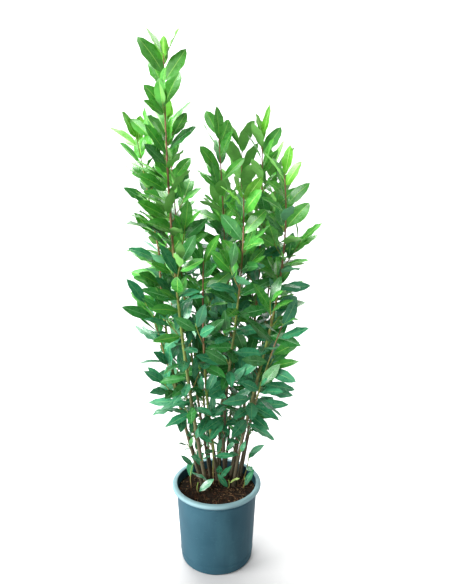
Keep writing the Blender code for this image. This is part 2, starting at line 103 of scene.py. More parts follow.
# Stems
STEM_SIDES = 8
STEM_STEPS = (0, 0.03, 0.09, 0.3, 0.65, 1)
TWIG_SIDES = 3
STEM_RINGS = 10
TWIG_RINGS = 4
BOUGH_RINGS = 7
TIP_RADIUS = 0.0013
TAPER = 0.85
FLARE = 0.4
FLARE_HEIGHT = 0.012
BARK_SIDES = 14
BARK_STEP = 0.0055
BARK_RELIEF = 0.10
RIDGES_ROUND = 900
RIDGES_UP = 60
NODE_SWELL = 0.16
NODE_LENGTH = 0.0035
FINE_SIDES = 7
FINE_STEP = 0.008

# Leaves
GOLDEN_TURN = math.radians(137.5)
TURN_SPREAD = math.radians(13)
FIRST_LEAF = 0.004
TOP_INTERNODE = 0.010
INTERNODE_FADE = 4.0
HIGH_PITCH = math.radians(58)
LOW_PITCH = math.radians(104)
HIGH_LEAF = 1.20
LOW_LEAF = 0.35
PITCH_FADE = 0.12
PITCH_SPREAD = math.radians(11)
ROLL_SPREAD = math.radians(30)
LIGHT_SHARES = (0.35, 0.95)
CROWN_Y = 0.08
LIGHT = Vector((0, -0.75, 0.66))
LEAF_LENGTH = 0.101
YOUNG_SHARE = 0.14
YOUNG_FADE = 0.028
LOW_LONGER = 0.22
LENGTH_SPREAD = 0.12
LEAF_WIDTH = 0.44
LEAF_THICK = 0.0019
LEAF_CLEAR = 0.0007
LEAF_TURNS = tuple(math.radians(degrees) for degrees in (0, 22, -22, 45, -45, 70, -70))
LEAF_SIZES = (1, 0.84)
MOST_RANKS = 60
SLEEVE = 0.110

# How a stem bears its leaves: their spacing and size, and in degrees how far they droop below
# the usual pitch and how wide they stand at its tip
Habit = namedtuple("Habit", "internode size droop spread")
TALL = Habit(internode=0.025, size=1.05, droop=-4, spread=28)
BUSHY = Habit(internode=0.0245, size=1.0, droop=-2, spread=34)
SHADED = Habit(internode=0.026, size=1.0, droop=0, spread=40)

# Side shoots: the first leaf's rank with one, then every how many; their lengths, radius at the
# foot, size of leaf, bare share, clearance and the turns tried. Twigs are the part's own; spurs are
# finer ones between the leaves, and closer ones just below them.
SideKind = namedtuple("SideKind", "first every lengths radius leaf_share bare clear turns")
BETWEEN_TURNS = tuple(math.radians(degrees) for degrees in range(0, 360, 24))
TWIG = SideKind(13, 7, (0.070, 0.115), 0.0021, 0.88, 0.30, 0.003, LEAF_TURNS)
SPUR = SideKind(8.5, 3, (0.026, 0.048), 0.0012, 0.84, 0, GAP, BETWEEN_TURNS)
LOW_SPUR = SPUR._replace(every=1.5, leaf_share=0.44)
SPUR_RANKS = 4
SPURS_BELOW = 0.15
SIDE_PITCH = math.radians(40)
SIDE_RISE = 0.25
SIDE_SPREAD = 24
BETWEEN_BELOW = 0.20

# Small shoots at the foot of the clump
BASAL_RADIUS = 0.0021
BASAL_BOW = 0.006
BASAL_LEAVES = 3
BASAL_HABIT = Habit(internode=0.024, size=0.62, droop=12, spread=45)

BUD_LENGTH = 0.009
BUD_WIDTH = 0.0034

Leader = namedtuple("Leader", "name foot tip bows thick bare turn habit")

# Foot on the compost and tip; where the stem bows out of the line between them, as the share of
# its height and how far sideways and back; thickness at the foot; height of the lowest leaf; the
# way that the topmost leaf points, in degrees round from +X; and how the stem bears its leaves
LEADERS = tuple(Leader(*row) for row in (
    ("left_tall", (-0.03, -0.01), (-0.135, -0.03, 1.535), ((0.3, -0.025, 0),), 0.0125, 0.44, 175, TALL),
    ("left_back", (-0.045, 0.015), (-0.155, 0.08, 1.375), ((0.3, -0.05, 0),), 0.011, 0.46, 80, TALL),
    ("left_inner", (-0.02, 0.07), (-0.125, 0.02, 1.255), ((0.3, -0.01, 0),), 0.01, 0.46, 300, BUSHY),
    ("left_low", (-0.045, 0.045), (-0.19, 0.035, 0.8), ((0.5, -0.005, 0.01),), 0.008, 0.49, 210, SHADED),
    ("middle_thick", (0.005, 0.045), (-0.035, -0.02, 0.985),
     ((0.3, -0.015, 0.005),), 0.013, 0.45, 260, BUSHY),
    ("middle_front", (0.03, 0.06), (0.075, -0.1, 1.17),
     ((0.2, -0.015, 0), (0.6, 0, 0)), 0.012, 0.46, 250, BUSHY),
    ("middle_tall", (0, 0.09), (0.01, 0.03, 1.335), ((0.3, 0.02, 0.01),), 0.01, 0.44, 120, TALL),
    ("middle_back", (0.03, 0.1), (0.08, 0.1, 1.315), ((0.3, 0.01, 0.005),), 0.009, 0.44, 20, TALL),
    ("right_tall", (0.05, 0.075), (0.135, 0.05, 1.33), ((0.3, 0.025, 0),), 0.011, 0.45, 330, TALL),
    ("right_front", (0.055, 0.01), (0.19, -0.05, 1.225),
     ((0.2, 0.005, 0), (0.6, 0.035, 0)), 0.012, 0.46, 30, BUSHY),
    ("right_low", (0.07, 0.045), (0.19, -0.08, 0.805), ((0.4, -0.01, 0.015),), 0.008, 0.49, 290, SHADED),
    ("right_back", (0.08, 0.07), (0.185, 0.12, 1.26), ((0.3, 0.02, 0.005),), 0.009, 0.48, 60, BUSHY),
    ("back_left", (-0.04, 0.08), (-0.16, 0.16, 1.1), ((0.4, -0.025, 0.015),), 0.0085, 0.48, 140, BUSHY),
    ("back_left_low", (-0.02, 0.1), (-0.075, 0.12, 1.015), ((0.4, -0.005, 0.025),), 0.009, 0.45, 190, SHADED),
    ("back_middle", (0.01, 0.11), (0.04, 0.17, 1.175), ((0.3, 0.01, 0.025),), 0.0085, 0.45, 100, BUSHY),
    ("back_right", (0.05, 0.1), (0.135, 0.18, 1.115), ((0.4, 0.015, 0.02),), 0.0085, 0.48, 45, BUSHY),
))

Bough = namedtuple("Bough", "leader height bend tip radius turn habit")

# Long side boughs: the leader and the height they leave it at, a bend, the tip and the radius
BOUGHS = (
    Bough("left_back", 1.000, (-0.200, 0.055, 1.180), (-0.225, 0.050, 1.330), 0.0032, 260, BUSHY),
)

BasalShoot = namedtuple("BasalShoot", "name foot tip turn")

BASAL_SHOOTS = (
    BasalShoot("right", (0.080, 0.020), (0.105, 0.020, 0.350), 0),
    BasalShoot("right_low", (0.085, -0.005), (0.090, -0.010, 0.270), 280),
    BasalShoot("front", (0.010, 0.010), (0.010, 0.000, 0.290), 250),
    BasalShoot("front_low", (0.035, -0.005), (0.040, -0.015, 0.265), 300),
    BasalShoot("left", (-0.080, 0.000), (-0.075, -0.010, 0.325), 190),
    BasalShoot("left_low", (-0.055, -0.030), (-0.060, -0.035, 0.270), 230),
    BasalShoot("inner", (-0.010, 0.020), (-0.010, 0.010, 0.390), 100),
    BasalShoot("back", (-0.060, 0.095), (-0.085, 0.100, 0.345), 120),
)

# The part's own leaf, kept for testing what touches what
LEAF_POINTS = (
    (0, 0, 0),
    (-0.47, 0.36, 1), (0.47, 0.36, 1),
    (-0.42, 0.74, 1), (0.42, 0.74, 1),
    (0, 1, 0),
)
LEAF_FACES = (
    (0, 2, 1), (1, 2, 4), (1, 4, 3), (3, 4, 5),
    (0, 1, 5), (1, 3, 5), (0, 5, 2), (5, 4, 2),
)
LEAF_OUTLINE = (0, 2, 4, 5, 3, 1)
ROOM_SIDES = len(LEAF_OUTLINE)
ROOM_FACES = [range(ROOM_SIDES), range(ROOM_SIDES, 2 * ROOM_SIDES)]
ROOM_FACES += [(one, two, two + ROOM_SIDES, one + ROOM_SIDES)
               for one, two in zip(range(ROOM_SIDES), (*range(1, ROOM_SIDES), 0))]

# The shown leaf: a stalk, then a folded, arched blade with a waved margin and a pale rib
STALK_END = 0.07
LEAF_ROWS = (0, STALK_END, 0.13, 0.23, 0.36, 0.50, 0.64, 0.78, 0.91, 1)
UPPER_COLUMNS = (-1, -0.52, -0.046, 0.046, 0.52, 1)
UNDER_COLUMNS = (-1, 0, 1)
STALK_WIDTH = 0.042
BLADE_THICK = 0.0005
STALK_THICK = 0.0020
FOLDS = (0.10, 0.42)
ARCHES = (-0.10, 0.75)
TWISTS = (-0.35, 0.35)
WAVES = (0.0010, 0.0042)
WAVE_COUNTS = (2.2, 3.6)
WIDEST = (0.86, 1.06)
NARROWINGS = (0.78, 1.0)
LOW_NARROWING = 0.22
BLUNTNESS = (0.56, 0.84)
LOW_SHARPER = 0.20
CURL_FADE = 0.06
YOUNG_FLATTER = 0.5
MARGIN_LAGS = (0.4, 2.4)
MARGIN_RIPPLE = 0.06
RIPPLE_FASTER = 1.3
MARGIN_FLATTER = 0.4
RIB_HALF = 0.05
RIB_STANDS = 0.0009
LEAST_ARCH = 0.02
LEAF_CREASE = 75
CELL_INSET = 0.04
CELL_SHAPE = 2.2

# Side veins: how many pairs, how far they slant forward, and their width
VEIN_PAIRS = 11
VEIN_SLANT = 2.6
VEIN_WIDTH = 0.11

# Tones of leaves: the height of the lowest and how they mix, and where undersides turn yellower
TONE_FOOT = 0.50
TONE_MIX = 0.42
TIP_FRESHER = 0.25
TIP_FADE = 0.08
TIPS_ABOVE = 0.9
UNDER_TURNS = 0.95
UNDER_MIX = 0.2
NEW_REACH = (0.75, 1.15)

# How much further than others a stem's bark has turned from red to yellow-green and brown
STEM_AGES = {
    "middle_front": 0.20, "left_inner": 0.10, "right_front": 0.08, "left_low": 0.25,
    "right_low": 0.25,
}

# How far down a small shoot its leaves have faded to pale yellow-green
FADED = {"basal_shoot_front_low": 0.012}

# How far down a stem its new, lime-green leaves reach
NEW_GROWTH = {
    "left_tall": 0.050, "left_back": 0.034, "left_back bough": 0.040, "middle_front": 0.052,
    "right_tall": 0.016, "right_front": 0.046, "right_back": 0.030, "back_left": 0.020,
    "back_middle": 0.034, "back_right": 0.026,
}

# ---- colours, all linear

LEAF_TONES = {
    "leaf_blue": (0.034, 0.235, 0.105),
    "leaf_deep": (0.028, 0.190, 0.034),
    "leaf_mid": (0.056, 0.300, 0.040),
    "leaf_fresh": (0.062, 0.325, 0.032),
    "leaf_lime": (0.110, 0.410, 0.026),
    "leaf_pale": (0.330, 0.480, 0.130),
}
UNDER_TONES = {
    "under_low": (0.085, 0.290, 0.135),
    "under_high": (0.150, 0.390, 0.085),
}
RIB_TONES = {
    "rib_low": (0.170, 0.430, 0.170),
    "rib_high": (0.290, 0.600, 0.110),
    "rib_lime": (0.420, 0.760, 0.170),
    "leaf_stalk": (0.210, 0.230, 0.060),
}

# Bark by its age, from the red tips at 0 to the grey-brown feet at 1
BARK_TONES = {
    0: (0.30, 0.115, 0.075), 1: (0.075, 0.062, 0.036), 0.30: (0.27, 0.125, 0.075),
    0.44: (0.255, 0.190, 0.062), 0.56: (0.190, 0.270, 0.050), 0.70: (0.165, 0.200, 0.055),
    0.84: (0.125, 0.105, 0.058),
}
BARK_GRAIN = (0.050, 0.040, 0.022)
BARK_SPOTS = (0.33, 0.28, 0.19)
TWIG_TONES = ((0.190, 0.320, 0.050), (0.240, 0.135, 0.065))
TWIG_BLOTCH = (0.12, 0.10, 0.04)
POT_TONES = ((0.020, 0.066, 0.094), (0.032, 0.091, 0.124))
POT_DUST = (0.055, 0.150, 0.190)
POT_SCUFFS = (0.080, 0.190, 0.230)
# The colour of the painted highlight on the rim's rolled lip
POT_RIM_HIGHLIGHT = (0.300, 0.470, 0.500)
SOIL_TONES = ((0.006, 0.005, 0.003), (0.030, 0.018, 0.009))
SOIL_CRUMBS = (0.045, 0.024, 0.012)
CHIP_TONES = {
    "chip_red": ((0.030, 0.013, 0.007), (0.120, 0.050, 0.024)),
    "chip_dark": ((0.006, 0.005, 0.003), (0.030, 0.018, 0.010)),
    "chip_tan": ((0.150, 0.090, 0.045), (0.330, 0.210, 0.110)),
}
FLOOR_TONES = ((0.54, 0.54, 0.54), (0.58, 0.58, 0.58))


# ---- shader expressions

class Value:
    """A number or colour that changes over a surface. Arithmetic on it adds the nodes."""

    def __init__(self, tree, socket=None):
        self.tree = tree
        self.socket = socket

    def made(self, kind, output, sockets, **settings):
        """One output of a new node, set up first and then given its sockets."""
        node = self.tree.nodes.new(kind)
        for place, colour in settings.pop("stops", {}).items():
            ramp = node.color_ramp.elements
            stop = ramp[len(ramp) - 1] if place == 1 else ramp[0] if place == 0 else ramp.new(place)
            stop.color = (*colour, 1)
        for name, setting in settings.items():
            setattr(node, name, setting)
        for name, given in sockets.items():
            if isinstance(given, Value):
                self.tree.links.new(given.socket, node.inputs[name])
            else:
                node.inputs[name].default_value = given
        return Value(self.tree, node.outputs[output])

    def maths(self, operation, *terms):
        return self.made("ShaderNodeMath", 0, dict(enumerate(terms)), operation=operation)

    def __add__(self, other):
        return self.maths("ADD", self, other)

    def __sub__(self, other):
        return self.maths("SUBTRACT", self, other)

    def __rsub__(self, other):
        return self.maths("SUBTRACT", other, self)

    def __mul__(self, other):
        return self.maths("MULTIPLY", self, other)

    def __pow__(self, other):
        return self.maths("POWER", self, other)

    def __abs__(self):
        return self.maths("ABSOLUTE", self)

    __radd__ = __add__
    __rmul__ = __mul__

    def ramped(self, low, high):
        """This value's run from low to high as 0 to 1."""
        return self.made("ShaderNodeMapRange", 0, {0: self, 1: low, 2: high})

    def blend(self, low, high):
        """The colour that is low where this is 0 and high where it is 1."""
        ends = [(*end, 1) if isinstance(end, tuple) else end for end in (low, high)]
        return self.made("ShaderNodeMix", 2, {0: self, 6: ends[0], 7: ends[1]}, data_type="RGBA")


class Finish:
    """A material in the making."""

    def __init__(self, name, specular):
        self.material = bpy.data.materials.new(name)
        self.material.use_nodes = True
        tree = self.material.node_tree
        self.shader = tree.nodes["Principled BSDF"]
        self.shader.inputs["Specular IOR Level"].default_value = specular
        self.start = Value(tree)
        self.place = self.start.made("ShaderNodeTexCoord", "Object", {})

    def noise(self, scale, detail=3, stretch=(1, 1, 1)):
        place = self.start.made("ShaderNodeMapping", 0, {"Vector": self.place, "Scale": stretch})
        sockets = {"Vector": place, "Scale": scale, "Detail": detail}
        return self.start.made("ShaderNodeTexNoise", 0, sockets)

    def cells(self, scale):
        return self.start.made("ShaderNodeTexVoronoi", 0, {"Vector": self.place, "Scale": scale})

    def attribute(self, name):
        return self.start.made("ShaderNodeAttribute", "Fac", {}, attribute_name=name)

    def done(self, colour, roughness, height=None, depth=0, strength=1):
        """The material, its colour, roughness and bump linked."""
        linked = {"Base Color": colour, "Roughness": roughness}
        if height is not None:
            sockets = {"Height": height, "Distance": depth, "Strength": strength}
            linked["Normal"] = self.start.made("ShaderNodeBump", 0, sockets)
        for socket, value in linked.items():
            self.start.tree.links.new(value.socket, self.shader.inputs[socket])
        return self.material


def shade(colour, factor):
    return tuple(min(part * factor, 1) for part in colour)


def leaf_veins(finish):
    """Side veins that fade towards the margin, and how far from the rib a point is."""
    place = finish.start.made("ShaderNodeUVMap", 0, {}, uv_map="leaf")
    split = finish.start.made("ShaderNodeSeparateXYZ", "X", {0: place})
    ahead = Value(split.tree, split.socket.node.outputs["Y"])
    across = abs(split * 2 - 1)
    slant = ahead * VEIN_PAIRS - across * VEIN_SLANT
    line = slant.maths("PINGPONG", slant, 0.5).ramped(VEIN_WIDTH, 0)
    return line * (1 - across ** 1.5), across


def leaf_finish(name, colour):
    """Glossy upper side of a leaf, mottled, with pale side veins and a yellower margin."""
    red, green, blue = colour
    margin = (red * 1.9, green * 1.15, blue)
    vein = (red * 2.1 + 0.02, green * 1.35 + 0.02, blue * 1.8)
    finish = Finish(name, specular=0.62)
    mottle = finish.noise(55).ramped(0.32, 0.68)
    speckle = finish.noise(420, 2).ramped(0.35, 0.65)
    veins, across = leaf_veins(finish)
    base = mottle.blend(shade(colour, 0.78), shade(colour, 1.20))
    base = (speckle * 0.22).blend(base, shade(colour, 0.72))
    base = (across ** 5 * 0.35).blend(base, margin)
    base = (veins * 0.34).blend(base, vein)
    roughness = 0.21 + mottle * 0.10 + speckle * 0.06
    return finish.done(base, roughness, veins * 0.7 + speckle * 0.3, depth=0.0005, strength=0.55)


def under_finish(name, colour):
    """Matt, paler underside of a leaf, with the side veins standing out."""
    finish = Finish(name, specular=0.30)
    mottle = finish.noise(60).ramped(0.3, 0.7)
    veins, _ = leaf_veins(finish)
    base = mottle.blend(shade(colour, 0.84), shade(colour, 1.14))
    base = (veins * 0.4).blend(base, shade(colour, 1.35))
    return finish.done(base, 0.56 + mottle * 0.12, veins, depth=0.0006, strength=0.6)


def rib_finish(name, colour):
    finish = Finish(name, specular=0.35)
    tint = finish.noise(90).ramped(0.3, 0.7)
    base = tint.blend(shade(colour, 0.82), shade(colour, 1.12))
    return finish.done(base, 0.42 + tint * 0.1)


def bark_finish():
    """Reddish-brown shoots that turn yellow-green and then grey-brown with age."""
    finish = Finish("bark", specular=0.30)
    age = finish.attribute("age")
    blotch = finish.noise(46, 4, (1, 1, 0.35))
    grain = finish.noise(330, 4, (1, 1, 0.16))
    spots = finish.cells(330).ramped(0.30, 0.12)
    worn = age + (blotch - 0.5) * 0.30
    base = finish.start.made("ShaderNodeValToRGB", 0, {0: worn}, stops=BARK_TONES)
    base = (grain.ramped(0.35, 0.65) * 0.35).blend(base, BARK_GRAIN)
    base = (spots * age * 0.45).blend(base, BARK_SPOTS)
    relief = grain * 0.7 + spots * 0.5 + blotch * 0.4
    return finish.done(base, 0.50 + age * 0.30, relief, depth=0.0008, strength=0.8)


def twig_finish():
    """Thin twigs and buds: green at the tip, browner where they are old."""
    finish = Finish("twig", specular=0.30)
    blotch = finish.noise(120).ramped(0.3, 0.7)
    base = (finish.attribute("age") + blotch * 0.25 - 0.1).blend(*TWIG_TONES)
    base = (blotch * 0.3).blend(base, TWIG_BLOTCH)
    return finish.done(base, 0.48 + blotch * 0.2, blotch, depth=0.0004, strength=0.7)


def pot_finish():
    """Matt moulded plastic, dusty and scuffed, with a painted highlight that makes the rim's rolled lip
    paler.
    """
    finish = Finish("pot_plastic", specular=0.10)
    clouds = finish.noise(9, 5)
    drips = finish.noise(24, 4, (1, 1, 0.18))
    pores = finish.noise(700, 2)
    scuffs = finish.noise(60, 6, (1, 1, 2.2)).ramped(0.60, 0.72)
    rubbed = finish.attribute("rubbed")
    base = clouds.ramped(0.30, 0.70).blend(*POT_TONES)
    base = (drips.ramped(0.52, 0.74) * 0.35).blend(base, POT_DUST)
    base = (scuffs * 0.16).blend(base, POT_SCUFFS)
    # Painted highlight: the rim's rolled lip made paler, as where light falls on its top
    base = (rubbed * (0.42 + clouds * 0.7)).blend(base, POT_RIM_HIGHLIGHT)
    roughness = 0.46 + clouds * 0.16 + scuffs * 0.10
    relief = pores * 0.5 + drips * 0.3 + clouds * 0.6
    return finish.done(base, roughness, relief, depth=0.0006, strength=0.35)


def compost_finish():
    finish = Finish("compost_soil", specular=0.20)
    clods = finish.noise(70, 5).ramped(0.34, 0.66)
    crumbs = finish.noise(420, 3).ramped(0.36, 0.64)
    base = (crumbs * 0.45).blend(clods.blend(*SOIL_TONES), SOIL_CRUMBS)
    return finish.done(base, 0.86 + crumbs * 0.1, clods * 0.6 + crumbs, depth=0.0022)


def chip_finish(name, tones):
    finish = Finish(name, specular=0.20)
    grain = finish.noise(260, 4, (1, 0.3, 1)).ramped(0.34, 0.66)
    return finish.done(grain.blend(*tones), 0.78 + grain * 0.15, grain, depth=0.0008)


def floor_finish():
    finish = Finish("floor_paper", specular=0.10)
    fibre = finish.noise(3, 2)
    return finish.done(fibre.blend(*FLOOR_TONES), 0.9 + fibre * 0.05)


# ---- placing pieces

def stand(name, data):
    """A new object in the scene, at the origin."""
    item = bpy.data.objects.new(name, data)
    bpy.context.scene.collection.objects.link(item)
    return item


def put(name, mesh, materials, nodes):
    """A finished piece in the scene, riding on the part and standing for its nodes."""
    for material in materials:
        mesh.materials.append(material)
    piece = stand(name, mesh)
    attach(piece, "root")
    if nodes:
        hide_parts(*nodes)


def smoothed(mesh, crease):
    """The mesh shaded smooth, except where it turns by more than this many degrees."""
    mesh.shade_smooth()
    mesh.set_sharp_from_angle(angle=math.radians(crease))
    return mesh


def mesh_from(bm, name):
    mesh = bpy.data.meshes.new(name)
    bm.to_mesh(mesh)
    bm.free()
    mesh.shade_smooth()
    return mesh


# ---- pot

def wall_radius(height):
    share = height / SHOULDER_HEIGHT
    return FOOT_RADIUS + (SHOULDER_RADIUS - FOOT_RADIUS) * share


def arc(centre_r, centre_z, radius, start, end, steps):
    """Points (r, z) on an arc, its angles in degrees up from outwards."""
    angles = [math.radians(start + (end - start) * step / steps) for step in range(steps + 1)]
    return [(centre_r + radius * math.cos(a), centre_z + radius * math.sin(a)) for a in angles]


def turned(profile, sides):
    """A bmesh turned about Z from (r, z) points that start and end on the axis."""
    bm = bmesh.new()
    verts = [bm.verts.new((r, 0, z)) for r, z in profile]
    edges = [bm.edges.new(pair) for pair in zip(verts, verts[1:])]
    bmesh.ops.spin(bm, geom=verts + edges, cent=(0, 0, 0), axis=UP, angle=math.tau,
                   steps=sides, use_merge=True)
    bmesh.ops.remove_doubles(bm, verts=bm.verts, dist=1e-6)
    bmesh.ops.recalc_face_normals(bm, faces=bm.faces)
    return bm


def pot_profile():
    foot = arc(FOOT_RADIUS - FOOT_ROUND, FOOT_ROUND, FOOT_ROUND, -90, 0, 9)
    wall = []
    for height in BEAD_HEIGHTS:
        wall += arc(wall_radius(height), height, BEAD_RADIUS, -90, 90, 6)
    throat = arc(wall_radius(SHOULDER_HEIGHT) + THROAT_ROUND, SHOULDER_HEIGHT - THROAT_ROUND,
                 THROAT_ROUND, 180, 90, 4)
    lip = arc(RIM_RADIUS - ROLL_RADIUS, POT_HEIGHT - ROLL_RADIUS, ROLL_RADIUS, -90, 90, 16)
    inner_top = SHOULDER_RADIUS - WALL
    inner_foot = wall_radius(FLOOR + INNER_CHAMFER) - WALL
    mouth = arc(inner_top + WALL, POT_HEIGHT - WALL, WALL, 90, 180, 5)
    inside = [(inner_top, SHOULDER_HEIGHT), (inner_foot, FLOOR + INNER_CHAMFER),
              (inner_foot - INNER_CHAMFER, FLOOR), (0, FLOOR)]
    return [(0, 0), *foot, *wall, *throat, *lip, *mouth, *inside]


def drained(mesh):
    """The pot's mesh with its drain holes cut."""
    bm = bmesh.new()
    for index in range(DRAIN_COUNT):
        turn = Matrix.Rotation(math.tau * (index + 0.5) / DRAIN_COUNT, 4, "Z")
        place = turn @ Matrix.Translation((DRAIN_CIRCLE, 0, FLOOR / 2))
        bmesh.ops.create_cone(bm, cap_ends=True, segments=DRAIN_SIDES, radius1=DRAIN_RADIUS,
                              radius2=DRAIN_RADIUS, depth=3 * FLOOR, matrix=place)
    blank = stand("pot_blank", mesh)
    cutter = stand("drain_cutter", mesh_from(bm, "drain_cutter"))
    drains = blank.modifiers.new("drains", "BOOLEAN")
    drains.operation = "DIFFERENCE"
    drains.object = cutter
    graph = bpy.context.evaluated_depsgraph_get()
    cut = bpy.data.meshes.new_from_object(blank.evaluated_get(graph))
    for helper in (blank, cutter):
        bpy.data.objects.remove(helper, do_unlink=True)
    return cut


def make_pot():
    mesh = drained(mesh_from(turned(pot_profile(), POT_SIDES), "pot_blank"))
    # The painted highlight's share at each point, growing up the outside of the rim's roll
    rubbed = mesh.attributes.new("rubbed", "FLOAT", "POINT")
    for vert, mark in zip(mesh.vertices, rubbed.data):
        height = max(vert.co.z - SHOULDER_HEIGHT, 0) / (2 * ROLL_RADIUS)
        outside = math.hypot(vert.co.x, vert.co.y) > SHOULDER_RADIUS - WALL
        mark.value = min(height * RIM_HIGHLIGHT_RISE, 1) if outside else 0
    put("plastic_pot", smoothed(mesh, POT_CREASE), [pot_finish()], ["pot"])


# ---- compost

def soil_height(x, y):
    """The compost's bumpy top: low at the wall, a little higher round the stems."""
    out = math.hypot(x, y) / wall_radius(SOIL_LEVEL)
    lumps = noise.fractal(Vector((x, y, 0)) * SOIL_LUMPS, 0.8, 2.2, 4)
    return SOIL_LEVEL + SOIL_RELIEF * (0.55 * lumps + 0.25 - 0.8 * out ** 6)


def outwards(turn):
    """The level direction at this angle round from +X."""
    return Vector((math.cos(turn), math.sin(turn), 0))


def soil_spot(draw, margin):
    """A place on the compost, at least this far from its edge."""
    out = (wall_radius(SOIL_LEVEL) - WALL - margin) * math.sqrt(draw.random())
    turn = draw.uniform(0, math.tau)
    return out * math.cos(turn), out * math.sin(turn)


def make_compost():
    top = wall_radius(SOIL_LEVEL) - WALL - GAP
    low = wall_radius(FLOOR + INNER_CHAMFER) - WALL - GAP
    rings = [(top * (1 - ring / SOIL_RINGS), SOIL_LEVEL) for ring in range(SOIL_RINGS + 1)]
    profile = [(0, FLOOR + GAP), (low - INNER_CHAMFER, FLOOR + GAP),
               (low, FLOOR + GAP + INNER_CHAMFER), *rings]
    bm = turned(profile, SOIL_SIDES)
    for vert in bm.verts:
        if vert.co.z > SOIL_LEVEL - GAP:
            vert.co.z = soil_height(vert.co.x, vert.co.y)
    mesh = smoothed(mesh_from(bm, "compost_bed"), SOIL_CREASE)
    put("compost_bed", mesh, [compost_finish()], ["compost"])


def many(name, faces, points, kinds):
    """One mesh of many copies of the same faces, each copy with its own points."""
    mesh = bpy.data.meshes.new(name)
    copies, size, _ = points.shape
    every = [[index + copy * size for index in face] for copy in range(copies) for face in faces]
    mesh.from_pydata(points.reshape(-1, 3), [], every)
    mesh.polygons.foreach_set("material_index", kinds)
    return mesh


def make_chips():
    """Bark chips and crumbs, each a sliver lying any way up on the compost."""
    draw = random.Random(f"{SEED} chips")
    bm = bmesh.new()
    bmesh.ops.create_icosphere(bm, subdivisions=1, radius=0.5)
    bm.verts.index_update()
    places = []
    for _ in range(CHIP_COUNT):
        x, y = soil_spot(draw, CHIP_MARGIN)
        length = draw.uniform(*CHIP_LENGTHS) * draw.random() ** 0.6 + CHIP_LEAST
        width = length * draw.uniform(*CHIP_WIDTHS)
        size = Matrix.Diagonal((length, width, length * draw.uniform(*CHIP_THICKS), 1))
        tip = Matrix.Rotation(draw.gauss(0, CHIP_TILT), 4, "X")
        tilt = tip @ Matrix.Rotation(draw.gauss(0, CHIP_TILT), 4, "Y")
        spin = Matrix.Rotation(draw.uniform(0, math.tau), 4, "Z")
        lift = soil_height(x, y) + length * 0.10
        places.append(Matrix.Translation((x, y, lift)) @ tilt @ spin @ size)
    kinds = [draw.choices(range(3), CHIP_SHARES)[0] for _ in places]
    points, faces = corners_of(bm)
    corners = np.array([(*point, 1) for point in points])
    moved = np.einsum("nij,vj->nvi", np.array(places), corners)[:, :, :3]
    finishes = [chip_finish(*tones) for tones in CHIP_TONES.items()]
    mesh = many("chips", faces, moved, np.repeat(kinds, len(faces)))
    put("compost_chips", mesh, finishes, [])
    make_rootlets(finishes[::2])


def make_rootlets(finishes):
    """Fine roots and stalks that lie on the compost, each a thin bowed tube."""
    draw = random.Random(f"{SEED} rootlets")
    parts = []
    for _ in range(ROOTLET_COUNT):
        middle = Vector((*soil_spot(draw, ROOTLET_LENGTHS[1] / 2), 0))
        way = draw.uniform(0, math.tau)
        length = draw.uniform(*ROOTLET_LENGTHS)
        bow = draw.uniform(-ROOTLET_BOW, ROOTLET_BOW)
        along = outwards(way)
        stations = []
        for share in (-0.5, -0.25, 0, 0.25, 0.5):
            spot = middle + along * length * share
            spot += along.cross(UP) * length * bow * (0.25 - share ** 2) * 4
            spot.z = soil_height(spot.x, spot.y) + ROOTLET_LIFT * (0.3 + abs(share))
            stations.append((spot, ROOTLET_RADIUS * (1.2 - abs(share))))
        parts.append(tube(stations, ROOTLET_SIDES, lying))
    mesh = mesh_from(joined_bmesh(parts), "rootlets")
    kinds = draw.choices(range(len(finishes)), ROOTLET_SHARES, k=ROOTLET_COUNT)
    each = len(mesh.polygons) // ROOTLET_COUNT
    mesh.polygons.foreach_set("material_index", np.repeat(kinds, each))
    put("compost_rootlets", mesh, finishes, [])


# ---- stems and twigs

def on_curve(points, height):
    """The point at this height on the smooth curve through points of rising height."""
    found = Vector((0, 0, 0))
    for one in points:
        others = [other for other in points if other is not one]
        found += math.prod((height - other.z) / (one.z - other.z) for other in others) * one
    return found


def level(run):
    return Matrix()


def rising(run):
    return UP.rotation_difference(run).to_matrix().to_4x4()


def lying(run):
    return run.to_track_quat("Z", "Y").to_matrix().to_4x4()


def tube(stations, sides, turn):
    """A closed tube through (centre, radius) stations, its rings turned to its run."""
    bm = bmesh.new()
    ring = last = None
    for index, (centre, radius) in enumerate(stations):
        before = stations[max(index - 1, 0)][0]
        after = stations[min(index + 1, len(stations) - 1)][0]
        place = Matrix.Translation(centre) @ turn(after - before) @ Matrix.Scale(radius, 4)
        if ring is None:
            bmesh.ops.create_circle(bm, segments=sides, radius=1, matrix=place)
            ring = bm.edges[:]
        else:
            grown = bmesh.ops.extrude_edge_only(bm, edges=ring)["geom"]
            verts = {part for part in grown if isinstance(part, bmesh.types.BMVert)}
            edges = [part for part in grown if isinstance(part, bmesh.types.BMEdge)]
            ring = [edge for edge in edges if verts.issuperset(edge.verts)]
            bmesh.ops.transform(bm, matrix=place @ last.inverted(), verts=list(verts))
        last = place
    bmesh.ops.holes_fill(bm, edges=bm.edges)
    bmesh.ops.recalc_face_normals(bm, faces=bm.faces)
    bm.verts.index_update()
    return bm


def leader_points(leader):
    foot = Vector((*leader.foot, STEM_FOOT))
    tip = Vector(leader.tip)
    bows = [foot.lerp(tip, share) + Vector((side, back, 0)) for share, side, back in leader.bows]
    return [foot, *bows, tip]


def leader_radius(leader, height):
    share = (height - STEM_FOOT) / (leader.tip[2] - STEM_FOOT)
    plain = TIP_RADIUS + (leader.thick / 2 - TIP_RADIUS) * (1 - min(share, 1)) ** TAPER
    return plain * (1 + FLARE * math.exp(-(height - STEM_FOOT) / FLARE_HEIGHT))


def bare_stem(leader):
    points = leader_points(leader)
    heights = [STEM_FOOT + (leader.bare - STEM_FOOT) * step for step in STEM_STEPS]
    stations = [(on_curve(points, z), leader_radius(leader, z)) for z in heights]
    return tube(stations, STEM_SIDES, level)


